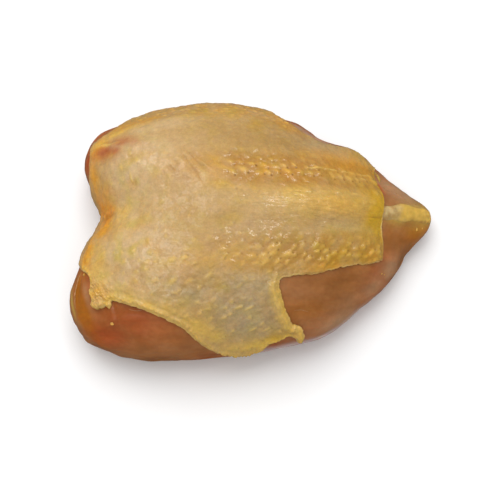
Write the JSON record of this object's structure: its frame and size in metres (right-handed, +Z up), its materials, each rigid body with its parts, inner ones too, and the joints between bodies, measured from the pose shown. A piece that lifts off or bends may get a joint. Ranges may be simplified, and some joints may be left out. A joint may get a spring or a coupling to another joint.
{
  "type": "raw chicken breast",
  "caption": "Whole raw chicken breast of two joined lobes, keel up, with yellow skin over most of it, lying on its flat underside.",
  "frame": {"origin": "on the surface the breast lies on, under the middle of its box", "axes": "+X along the keel towards the cartilage tip, +Y across towards the far lobe, +Z up"},
  "size_m": [0.1916, 0.138, 0.0618],
  "materials": {
    "flesh": "moist raw flesh, satin",
    "skin": "moist yellow skin with feather follicles, satin",
    "cartilage": "moist cream cartilage and yellow fat, satin"
  },
  "bodies": {
    "root": {"breast_flesh": "flesh", "skin": "skin", "keel_cartilage": "cartilage"}
  },
  "joints": []
}
